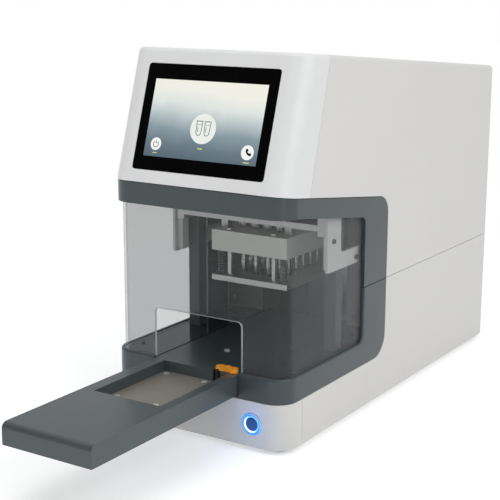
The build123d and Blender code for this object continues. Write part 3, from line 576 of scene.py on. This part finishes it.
def make_coil_tree():
    """A helical coil of round wire, its ends capped, at each point."""
    inputs = [
        ("Coil Radius", "NodeSocketFloat"),
        ("Wire Radius", "NodeSocketFloat"),
        ("Height", "NodeSocketFloat"),
        ("Turns", "NodeSocketFloat"),
        ("Material", "NodeSocketMaterial"),
    ]
    group, start, end = node_group("coils_at_points", inputs)
    helix = group.nodes.new("GeometryNodeCurveSpiral")
    helix.inputs["Resolution"].default_value = 22
    section = group.nodes.new("GeometryNodeCurvePrimitiveCircle")
    section.inputs["Resolution"].default_value = 8
    rod = group.nodes.new("GeometryNodeCurveToMesh")
    rod.inputs["Fill Caps"].default_value = True
    copies = group.nodes.new("GeometryNodeInstanceOnPoints")
    wire(
        group,
        (start, "Turns", helix, "Rotations"),
        (start, "Coil Radius", helix, "Start Radius"),
        (start, "Coil Radius", helix, "End Radius"),
        (start, "Height", helix, "Height"),
        (start, "Wire Radius", section, "Radius"),
        (helix, "Curve", rod, "Curve"),
        (section, "Curve", rod, "Profile Curve"),
        (start, "Geometry", copies, "Points"),
        (rod, "Mesh", copies, "Instance"),
    )
    return ended(group, start, end, copies, "Instances")


def grown(name, tree, places, settings, body, facings=None, smooth=35.0):
    """Run a tree on points and keep the result as a plain mesh piece."""
    points = bpy.data.meshes.new(name + "_points")
    points.from_pydata([Vector(place) for place in places], [], [])
    if facings:
        attribute = points.attributes.new("facing", "FLOAT_VECTOR", "POINT")
        for step, facing in enumerate(facings):
            attribute.data[step].vector = facing
    carrier = bpy.data.objects.new(name + "_carrier", points)
    bpy.context.collection.objects.link(carrier)
    modifier = carrier.modifiers.new("grow", "NODES")
    modifier.node_group = tree
    for item in tree.interface.items_tree:
        if item.name in settings and item.in_out == "INPUT":
            modifier[item.identifier] = settings[item.name]
    graph = bpy.context.evaluated_depsgraph_get()
    mesh = bpy.data.meshes.new_from_object(carrier.evaluated_get(graph))
    bpy.data.objects.remove(carrier)
    mesh.name = name
    mesh.shade_smooth()
    mesh.set_sharp_from_angle(angle=math.radians(smooth))
    return new_piece(name, mesh, None, body)


row_tree = make_row_tree()
coil_tree = make_coil_tree()


def cap_screw(radius, height, key):
    """A socket-head screw drawn from its seat up, with a hexagon recess, in millimetres."""
    sides = 30
    chamfer = 0.3
    recess_floor = height * 0.35
    sixth = math.pi / 3
    bm = bmesh.new()
    rings = rings_about_z(bm, [(radius, 0.0), (radius, height - chamfer), (radius - chamfer, height)], sides)
    mouth = []
    floor = []
    for step in range(sides):
        angle = 2 * math.pi * step / sides
        off_flat = (angle + sixth / 2) % sixth - sixth / 2
        reach = key / math.cos(off_flat) * mm
        spot = (reach * math.cos(angle), reach * math.sin(angle))
        mouth.append(bm.verts.new((*spot, height * mm)))
        floor.append(bm.verts.new((*spot, recess_floor * mm)))
    rings += [mouth, floor]
    skin(bm, rings)
    bm.faces.new(reversed(rings[0]))
    bm.faces.new(floor)
    return bm


def stock_part(name, bm):
    """A part kept out of the view, for the trees to copy."""
    return bpy.data.objects.new(name, mesh_from(bm, name))


cap_screw_m6 = stock_part("cap_screw_large", cap_screw(3.0, 2.4, 1.5))
cap_screw_m3 = stock_part("cap_screw_small", cap_screw(2.4, 1.6, 1.1))
flush_screw = stock_part("flush_screw", cap_screw(3.5, 1.5, 0.85))


# Head

block_low, block_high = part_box("spindle_block")
plate_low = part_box("pressure_plate")[0]
sheet_thickness = 7.0
sheet_top = plate_low.z + sheet_thickness * mm
edge_inset = 8.0 * mm
rod_rows = (block_low.y + edge_inset, block_high.y - edge_inset)


def dress_spindles():
    """Turned spindles: stepped driver, collar, bar and grooved clutch drum."""
    low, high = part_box("spindle_01")
    base = low.z / mm
    top = high.z / mm
    drum_height = 10.0
    drum = top - drum_height
    profile = [
        (1.6, base), (2.3, base + 0.5), (2.8, base + 1.6), (2.8, base + 5.6), (3.35, base + 6.2),
        (3.35, base + 15.0), (2.6, base + 15.8), (2.6, base + 24.0), (3.35, base + 24.4),
        (3.35, base + 28.6), (2.6, base + 29.0), (2.6, base + 40.0), (3.35, base + 40.6),
        (3.35, drum - 0.2), (4.4, drum), (7.6, drum), (8.2, drum + 0.6), (8.2, drum + 2.2),
        (7.7, drum + 2.5), (7.7, drum + 3.1), (8.2, drum + 3.4), (8.2, top - 1.6), (7.6, top - 1.0),
        (5.2, top - 1.0), (5.0, top), (0.4, top),
    ]
    mesh = mesh_from(lathe(profile, 28), "spindle_form", 30.0)
    for number in range(1, 25):
        node = f"spindle_{number:02d}"
        spot = sum(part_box(node), Vector()) / 2
        copy = mesh.copy()
        copy.transform(Matrix.Translation((spot.x, spot.y, 0.0)))
        piece = new_piece(node + "_turned", copy, ground_steel, node)
        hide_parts(node)


def dress_springs():
    """Coils between the plate and the block, drawn at one length and riding on the head."""
    side, wire_radius = 45.0 * mm, 0.6 * mm
    spots = [(x, y, sheet_top + wire_radius) for x in (-side, side) for y in rod_rows]
    settings = {
        "Coil Radius": 3.7 * mm,
        "Wire Radius": wire_radius,
        "Height": block_low.z - sheet_top - 2 * wire_radius,
        "Turns": 9.5,
        "Material": spring_wire,
    }
    coils = grown("head_coils", coil_tree, spots, settings, "head")
    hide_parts("head_springs")
    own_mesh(coils)


def dress_guide_rods():
    """Round sleeves and heads over the plate's four rods."""
    side = 32.0 * mm
    low, top = sheet_top / mm, block_high.z / mm
    sleeve = [(4.2, low), (4.2, low + 1.2), (3.04, low + 1.6), (3.04, top)]
    head = [(5.05, top + 0.02), (5.05, top + 2.4), (4.5, top + 3.05)]
    spots = [(x, y, 0) for x in (-side, side) for y in rod_rows]
    parts = [placed(lathe(profile, 28), spot) for spot in spots for profile in (sleeve, head)]
    rods = mesh_from(joined(parts), "guide_rods")
    new_piece("guide_rods", rods, ground_steel, "pressure_plate")


def add_screws(name, part, rows, body, finish):
    """Screws from (place in millimetres, facing) rows."""
    places = [[value * mm for value in place] for place, _ in rows]
    facings = [facing for _, facing in rows]
    settings = {"Part": part, "Material": finish}
    return grown(name, row_tree, places, settings, body, facings)


dress_spindles()
dress_springs()
dress_guide_rods()

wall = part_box("rail_brackets")[1].x / mm
arm_y, leg_y = 22.5, -33.5
bracket_spots = [(leg_y, 226.5), (arm_y, 197.5), (leg_y, 262.0), (arm_y + 26.0, 201.5)]
bracket_rows = [((side * wall, y, z), (side, 0, 0)) for side in (1, -1) for y, z in bracket_spots]
add_screws("bracket_screws", cap_screw_m6, bracket_rows, "chassis", dark_steel)


# Screen picture

face_tilt = math.radians(17.7)
face_foot = Vector((0.0, -159.5 * mm, 296.5 * mm))
face_right = Vector((1.0, 0.0, 0.0))
face_up = Vector((0.0, math.sin(face_tilt), math.cos(face_tilt)))
face_out = face_right.cross(face_up)
glass_sink = -0.2
picture_low, picture_high, picture_half = 32.2, 122.9, 77.0


def on_glass(bm):
    """Lay a plate drawn in (across, up, out) millimetres on the screen glass."""
    turn = Matrix((face_right, face_up, face_out)).transposed().to_4x4()
    bmesh.ops.transform(bm, matrix=Matrix.Translation(face_foot) @ turn, verts=bm.verts)
    return bm


def lit(name, colour, strength, roughness=0.08):
    """Light from behind the glass, with the gloss of the glass over it."""
    finish = Finish(name)
    faint = finish.noise(finish.place(), 60.0, 2.0)
    glow = finish.blend(faint, shaded(colour, 0.97), shaded(colour, 1.03))
    inputs = {"Emission Color": glow, "Emission Strength": strength}
    base = finish.body((0.01, 0.01, 0.01), roughness, IOR=1.5, **inputs)
    return finish.done(base)


def screen_glow():
    """Warm white at the top falling to slate blue, with soft drifting patches."""
    finish = Finish("screen_glow")
    here = finish.place(move=tuple(face_foot), turn=(-face_tilt, 0.0, 0.0))
    across, _, up = finish.axes(here)
    level = (up / mm - picture_low) / (picture_high - picture_low)
    patches = finish.noise(here, 26.0, 2.0)
    side = (across / mm / picture_half) * 0.05
    height = level + (patches - 0.5) * 0.16 + side
    stops = [
        (0.0, (0.105, 0.15, 0.185)),
        (0.16, (0.15, 0.205, 0.245)),
        (0.34, (0.26, 0.335, 0.38)),
        (0.52, (0.5, 0.58, 0.59)),
        (0.68, (0.76, 0.81, 0.78)),
        (0.86, (0.9, 0.9, 0.83)),
        (1.0, (0.93, 0.9, 0.8)),
    ]
    ramp = finish.node("ShaderNodeValToRGB", {"stops": stops}, {"Fac": height})
    inputs = {"Emission Color": ramp, "Emission Strength": 0.95}
    return finish.done(finish.body((0.01, 0.01, 0.01), 0.06, IOR=1.5, **inputs))


def add_picture(name, plates, finish):
    """Plates drawn on the glass, kept as one piece."""
    new_piece(name, mesh_from(on_glass(joined(plates)), name), finish, "chassis")


def make_screen():
    """The lit picture, then the discs and bars on it, then the marks on those."""
    half = picture_half
    film = 0.04
    level = glass_sink + film
    top = level + film
    corners = [(-half, picture_low), (half, picture_low), (half, picture_high), (-half, picture_high)]
    add_picture("screen_picture", [slab(corners, glass_sink, level)], screen_glow())
    pale = lit("pale_glow", (0.86, 0.9, 0.86), 0.95)
    white = lit("white_glow", (0.93, 0.95, 0.93), 0.95)
    ink = lit("ink", (0.02, 0.03, 0.035), 0.3)
    grey = lit("soft_ink", (0.16, 0.2, 0.19), 0.8)
    yellow = lit("label_glow", (0.72, 0.7, 0.25), 0.9)
    start, power, help_spot = (0.0, 68.5), (-61.6, 46.9), (63.8, 46.4)
    add_picture("start_disc", [slab(arc(start, 17.4, 0, 352.5, 47), level, top)], pale)
    corner_rows = [(power, 7.4), (help_spot, 8.3)]
    discs = [slab(arc(spot, radius, 0, 350, 35), level, top) for spot, radius in corner_rows]
    add_picture("corner_discs", discs, white)
    tubes = []
    for side in (-5.6, 5.6):
        u, v = side, start[1]
        left_wall = [(u - 3.9, v + 8.2), (u - 3.4, v - 4.4)]
        right_wall = [(u + 3.4, v - 4.4), (u + 3.9, v + 8.2)]
        outline = left_wall + arc((u, v - 4.6), 3.2, 190, 350, 10) + right_wall
        tubes.append(stroke(outline, 0.9, top, top + film))
        tubes.append(stroke([(u - 4.6, v + 8.6), (u + 4.6, v + 8.6)], 1.0, top, top + film))
        tubes.append(stroke([(u - 3.6, v + 4.6), (u + 3.6, v + 4.6)], 0.5, top, top + film))
        tubes.append(stroke([(u - 1.7, v + 2.0), (u - 1.5, v - 4.0)], 0.8, top, top + film))
    add_picture("tube_marks", tubes, grey)
    u, v = power
    marks = [
        stroke(arc((u, v - 0.3), 3.4, 125, 415, 30), 1.0, top, top + film),
        stroke([(u, v + 0.4), (u, v + 4.0)], 1.0, top, top + film),
    ]
    add_picture("power_mark", marks, grey)
    u, v = help_spot
    bow = arc((u + 4.6, v + 3.6), 6.2, 190, 262, 14)
    pad_radius, clear_of_pads = 1.75, 0.005
    pads = [(bow[0][0] + 0.7, bow[0][1] + 0.2), (bow[-1][0] - 0.2, bow[-1][1] + 0.6)]
    handset = [slab(arc(pad, pad_radius, 0, 345, 23), top, top + film) for pad in pads]
    handset.append(stroke(bow, 2.4, top + clear_of_pads, top + film + clear_of_pads))
    add_picture("handset_mark", handset, ink)
    bars = [
        stroke([(-3.0, 45.6), (3.0, 45.6)], 1.4, level, top),
        stroke([(-64.6, 36.6), (-58.6, 36.6)], 1.0, level, top),
        stroke([(60.0, 35.0), (68.0, 35.0)], 1.2, level, top),
    ]
    add_picture("label_bars", bars, yellow)


make_screen()


# Power button

button_spot = Vector((79.0 * mm, 0.0, 32.5 * mm))
panel_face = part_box("front_panel")[0].y
rim_radius, light_radius = 13.4, 9.2


def facing_front(bm):
    """Turn a piece drawn about Z to face the operator, and seat it on the button's axis."""
    return placed(bm, (button_spot.x, panel_face, button_spot.z), (0, -1, 0))


def from_button(finish, **more):
    """Coordinates measured from the button's centre."""
    return finish.place(move=(-button_spot.x, 0.0, -button_spot.z), **more)


def rim_metal():
    """Metal rim with painted blue light at its lower left, where the ring light spills on it, and bare metal
    at its upper right.
    """
    finish = Finish("rim_painted_blue_light")
    across, _, up = finish.axes(from_button(finish))
    away_from_painted_glow = ((across * 0.8 + up * 0.6) / (rim_radius * mm)).fade(0.1, 1.0)
    # The blue colour and glow at the lower left are painted light from the ring light; the rim itself is no
    # lamp.
    tone = finish.blend(away_from_painted_glow, (0.1, 0.32, 0.85), (0.5, 0.6, 0.75))
    glow = finish.blend(away_from_painted_glow, (0.06, 0.3, 0.95), (0.05, 0.1, 0.2))
    inputs = {"Emission Color": glow, "Emission Strength": 0.5, "Metallic": 0.7}
    return finish.done(finish.body(tone, 0.22, **inputs))


def cap_metal():
    """Deep blue cap with a fine brush along it."""
    finish = Finish("deep_blue")
    lines = finish.noise(from_button(finish, scale=(1.0, 1.0, 0.1)), 900.0, 3.0)
    tone = finish.blend(lines, (0.015, 0.06, 0.22), (0.05, 0.15, 0.42))
    return finish.done(finish.body(tone, 0.2 + lines * 0.1, Metallic=0.6, IOR=1.5))


def ring_light():
    """Blue light guide, nearly white where the lamps sit behind it."""
    finish = Finish("ring_light")
    across, _, up = finish.axes(from_button(finish))
    toward = (across * -0.75 - up * 0.55) / (light_radius * mm)
    hot = toward.fade(-0.35, 0.95)
    colour = finish.blend(hot, (0.04, 0.2, 0.85), (0.62, 0.85, 1.0))
    inputs = {"Emission Color": colour, "Emission Strength": 2.2}
    return finish.done(finish.body((0.1, 0.3, 0.7), 0.3, **inputs))


def make_button_dress():
    """Rim and nut on the panel; cap and ring light on the part that is pressed."""
    sides = 56
    rim = [
        (11.3, -15.0), (11.3, 0.0), (13.2, 0.0), (rim_radius, 0.25), (rim_radius, 0.7), (12.9, 1.15),
        (11.5, 1.2), (10.75, 1.0), (10.45, 0.4), (10.42, -11.0),
    ]
    rim_mesh = mesh_from(facing_front(hoop(rim, sides)), "button_rim")
    ring = new_piece("button_rim", rim_mesh, rim_metal(), "chassis")
    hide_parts("button_ring")
    nut = slab(arc((0, 0), 15.4, 0, 300, 5), -6.0, -3.0)
    new_piece("button_nut", mesh_from(facing_front(nut), "button_nut"), ground_steel, "chassis")
    cap = [
        (4.0, -17.9), (4.0, -5.0), (10.35, -5.0), (10.35, 0.5), (10.0, 0.8), (8.3, 0.8),
        (8.0, 0.45), (7.6, 0.45), (7.2, 0.75), (5.0, 1.0), (2.5, 1.14), (0.3, 1.18),
    ]
    cap_mesh = mesh_from(facing_front(lathe(cap, sides)), "button_cap")
    centre = new_piece("button_cap", cap_mesh, cap_metal(), "power_button")
    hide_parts("power_button")
    guide = [(8.15, 0.78), (8.15, 0.98), (light_radius, 1.12), (10.15, 0.98), (10.15, 0.78)]
    guide_mesh = mesh_from(facing_front(hoop(guide, sides)), "button_light")
    new_piece("button_light", guide_mesh, ring_light(), "power_button")


make_button_dress()


# Feet, tray screws and lever pin


def make_feet():
    feet_low, feet_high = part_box("rubber_feet")
    radius = 15.0
    reach_x = feet_high.x - radius * mm
    rows = (feet_low.y + radius * mm, feet_high.y - radius * mm)
    profile = [(12.6, 0.0), (13.1, 0.3), (14.9, 4.2), (14.9, 4.5)]
    parts = [placed(lathe(profile, 40), (x, y, 0)) for x in (-reach_x, reach_x) for y in rows]
    feet = new_piece("feet", mesh_from(joined(parts), "feet"), soft_rubber, "chassis")
    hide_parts("rubber_feet")


def make_tray_fasteners():
    plate_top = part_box("rack_plate")[1].z / mm
    tray_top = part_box("tray")[1].z / mm
    xs, ys = (-35.3, 18.9), (-257.8, -166.0)
    sunk = 1.55
    rows = [((x, y, plate_top - sunk), (0, 0, 1)) for x in xs for y in ys]
    rows.append(((-1.8, -87.7, tray_top), (0, 0, 1)))
    screws = add_screws("tray_screws", flush_screw, rows, "tray", bright_zinc)
    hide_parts("tray_fasteners")


def make_lever_pin():
    """The lever's pin, with a low domed head."""
    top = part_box("rack_lever")[1].z / mm
    axis_x, axis_y = 43.0, -152.5
    pin = [
        (2.4, top - 13.0), (2.4, top + 0.1), (4.0, top + 0.1), (4.2, top + 0.35),
        (4.2, top + 0.8), (3.6, top + 1.2), (0.3, top + 1.25),
    ]
    drawn = placed(lathe(pin, 32), (axis_x * mm, axis_y * mm, 0))
    new_piece("lever_pin", mesh_from(drawn, "lever_pin"), orange_moulding, "tray")


make_feet()
make_tray_fasteners()
make_lever_pin()


# Rear, chamber and inner details

rear_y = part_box("rear_panel")[1].y / mm
rear_rows = [((x, rear_y, z), (0, 1, 0)) for x in (-90.5, 90.5) for z in (27.0, 137.0)]
add_screws("rear_screws", cap_screw_m3, rear_rows, "chassis", dark_steel)

wall_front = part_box("rear_wall")[0].y / mm
wall_xs, wall_zs = (-108.0, -74.0, 74.0, 108.0), (100.0, 190.0, 280.0)
wall_rows = [((x, wall_front, z), (0, -1, 0)) for x in wall_xs for z in wall_zs]
add_screws("wall_screws", cap_screw_m3, wall_rows, "chassis", ground_steel)

deck_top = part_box("chamber_floor")[1].z / mm
deck_rows = [((x, y, deck_top), (0, 0, 1)) for x in (-106.0, 106.0) for y in (-118.0, 74.0)]
add_screws("deck_screws", cap_screw_m3, deck_rows, "chassis", dark_steel)

for stock in (cap_screw_m6, cap_screw_m3, flush_screw):
    bpy.data.objects.remove(stock)


# Floor, light and camera


def make_floor():
    """Pale floor that fades to white further out, so that no horizon shows."""
    finish = Finish("pale_floor")
    fade_start, fade_end = 0.5, 1.3
    half_width = 30.0
    drop = 0.1 * mm
    matt = finish.node("ShaderNodeBsdfDiffuse", {}, {"Color": (0.8, 0.8, 0.8, 1.0)})
    glow = finish.node("ShaderNodeEmission", {}, {"Color": (1.0, 1.0, 1.0, 1.0), "Strength": 0.42})
    near = finish.node("ShaderNodeAddShader", {}, {0: matt, 1: glow})
    across, along, _ = finish.axes(finish.place())
    distance = (across * across + along * along) ** 0.5
    white = finish.node("ShaderNodeEmission", {}, {"Color": (1.0, 1.0, 1.0, 1.0), "Strength": 1.0})
    both = finish.node("ShaderNodeMixShader", {}, {0: distance.fade(fade_start, fade_end), 1: near, 2: white})
    ray = finish.node("ShaderNodeLightPath", out="Is Camera Ray")
    glossy = Value(finish, ray.socket.node.outputs["Is Glossy Ray"])
    clear = Value(finish, ray.socket.node.outputs["Is Transmission Ray"])
    seen = ray.larger(glossy).larger(clear)
    material = finish.done(finish.node("ShaderNodeMixShader", {}, {0: seen, 1: matt, 2: both}))
    bm = bmesh.new()
    bmesh.ops.create_grid(bm, x_segments=1, y_segments=1, size=half_width)
    mesh = bpy.data.meshes.new("floor")
    bm.to_mesh(mesh)
    bm.free()
    mesh.materials.append(material)
    floor = bpy.data.objects.new("floor", mesh)
    floor.location = (0.0, 0.0, cad_low.z - drop)
    bpy.context.collection.objects.link(floor)


def make_world():
    """White to the camera; to everything else a room that is dim on the operator's side."""
    world = bpy.data.worlds.new("studio")
    bpy.context.scene.world = world
    world.use_nodes = True
    tree = world.node_tree
    tree.nodes.clear()
    ray = tree.nodes.new("ShaderNodeLightPath")
    seen = tree.nodes.new("ShaderNodeMath")
    seen.operation = "MAXIMUM"
    tree.links.new(ray.outputs["Is Camera Ray"], seen.inputs[0])
    tree.links.new(ray.outputs["Is Transmission Ray"], seen.inputs[1])
    room = tree.nodes.new("ShaderNodeBackground")
    room.inputs["Color"].default_value = (0.97, 0.985, 1.0, 1.0)
    way = tree.nodes.new("ShaderNodeTexCoord")
    parts = tree.nodes.new("ShaderNodeSeparateXYZ")
    tree.links.new(way.outputs["Generated"], parts.inputs[0])
    level = tree.nodes.new("ShaderNodeMapRange")
    level.interpolation_type = "SMOOTHSTEP"
    tree.links.new(parts.outputs["Y"], level.inputs["Value"])
    dim_to_bright = {"From Min": -0.75, "From Max": 0.4, "To Min": 0.04, "To Max": 0.7}
    for key, value in dim_to_bright.items():
        level.inputs[key].default_value = value
    tree.links.new(level.outputs["Result"], room.inputs["Strength"])
    white = tree.nodes.new("ShaderNodeBackground")
    white.inputs["Strength"].default_value = 1.0
    white.inputs["Color"].default_value = (1.0, 1.0, 1.0, 1.0)
    mix = tree.nodes.new("ShaderNodeMixShader")
    end = tree.nodes.new("ShaderNodeOutputWorld")
    tree.links.new(seen.outputs[0], mix.inputs[0])
    tree.links.new(room.outputs[0], mix.inputs[1])
    tree.links.new(white.outputs[0], mix.inputs[2])
    tree.links.new(mix.outputs[0], end.inputs["Surface"])


def soft_box(name, place, aim, size, power, mirrored=True):
    """A rectangular lamp in metres and watts; one that isn't mirrored shows in no gloss."""
    data = bpy.data.lights.new(name, "AREA")
    data.shape = "RECTANGLE"
    data.size, data.size_y = size
    data.energy = power
    lamp = bpy.data.objects.new(name, data)
    lamp.location = place
    toward = Vector(aim) - Vector(place)
    lamp.rotation_euler = toward.to_track_quat("-Z", "Y").to_euler()
    lamp.visible_glossy = mirrored
    bpy.context.collection.objects.link(lamp)


def make_button_glow():
    """Blue light that the ring throws on the side of the tray."""
    power, lamp_radius = 0.012, 8 * mm
    right, forward, up = 2 * mm, 26 * mm, 6 * mm
    data = bpy.data.lights.new("button_glow", "POINT")
    data.energy = power
    data.color = (0.1, 0.35, 1.0)
    data.shadow_soft_size = lamp_radius
    lamp = bpy.data.objects.new("button_glow", data)
    lamp.location = (button_spot.x + right, panel_face - forward, button_spot.z + up)
    lamp.visible_camera = False
    lamp.visible_glossy = False
    bpy.context.collection.objects.link(lamp)


def make_camera():
    """The photograph's view, as its angles, place and lens were worked out."""
    yaw, pitch, roll = math.radians(-32.76), math.radians(-12.77), math.radians(0.19)
    place = (0.7774, -1.2482, 0.5291)
    lens, sensor = 86.86, 36.0
    forward = Vector((math.sin(yaw) * math.cos(pitch), math.cos(yaw) * math.cos(pitch), math.sin(pitch)))
    data = bpy.data.cameras.new("camera")
    data.sensor_width = sensor
    data.lens = lens
    data.clip_end = 100.0
    camera = bpy.data.objects.new("camera", data)
    right = forward.cross(Vector((0, 0, 1))).normalized()
    up = right.cross(forward)
    right, up = right * math.cos(roll) + up * math.sin(roll), up * math.cos(roll) - right * math.sin(roll)
    turn = Matrix((right, up, -forward)).transposed()
    camera.matrix_world = Matrix.Translation(place) @ turn.to_4x4()
    bpy.context.collection.objects.link(camera)
    bpy.context.scene.camera = camera


make_floor()
make_world()
make_camera()
body_middle = (0.0, 0.0, 0.2)
soft_box("right_key", (2.6, -0.6, 1.9), body_middle, size=(2.2, 1.8), power=35.0)
soft_box("top_fill", (-0.3, -0.3, 2.6), body_middle, size=(2.0, 2.0), power=21.0)
soft_box("front_fill", (-0.8, -2.4, 0.6), (0.0, 0.0, 0.12), size=(2.4, 1.1), power=22.0, mirrored=False)
soft_box("edge_strip", (2.1, -1.6, 0.7), (0.1, -0.15, 0.25), size=(0.1, 1.5), power=5.0)
make_button_glow()
bpy.context.scene.view_settings.view_transform = "Standard"
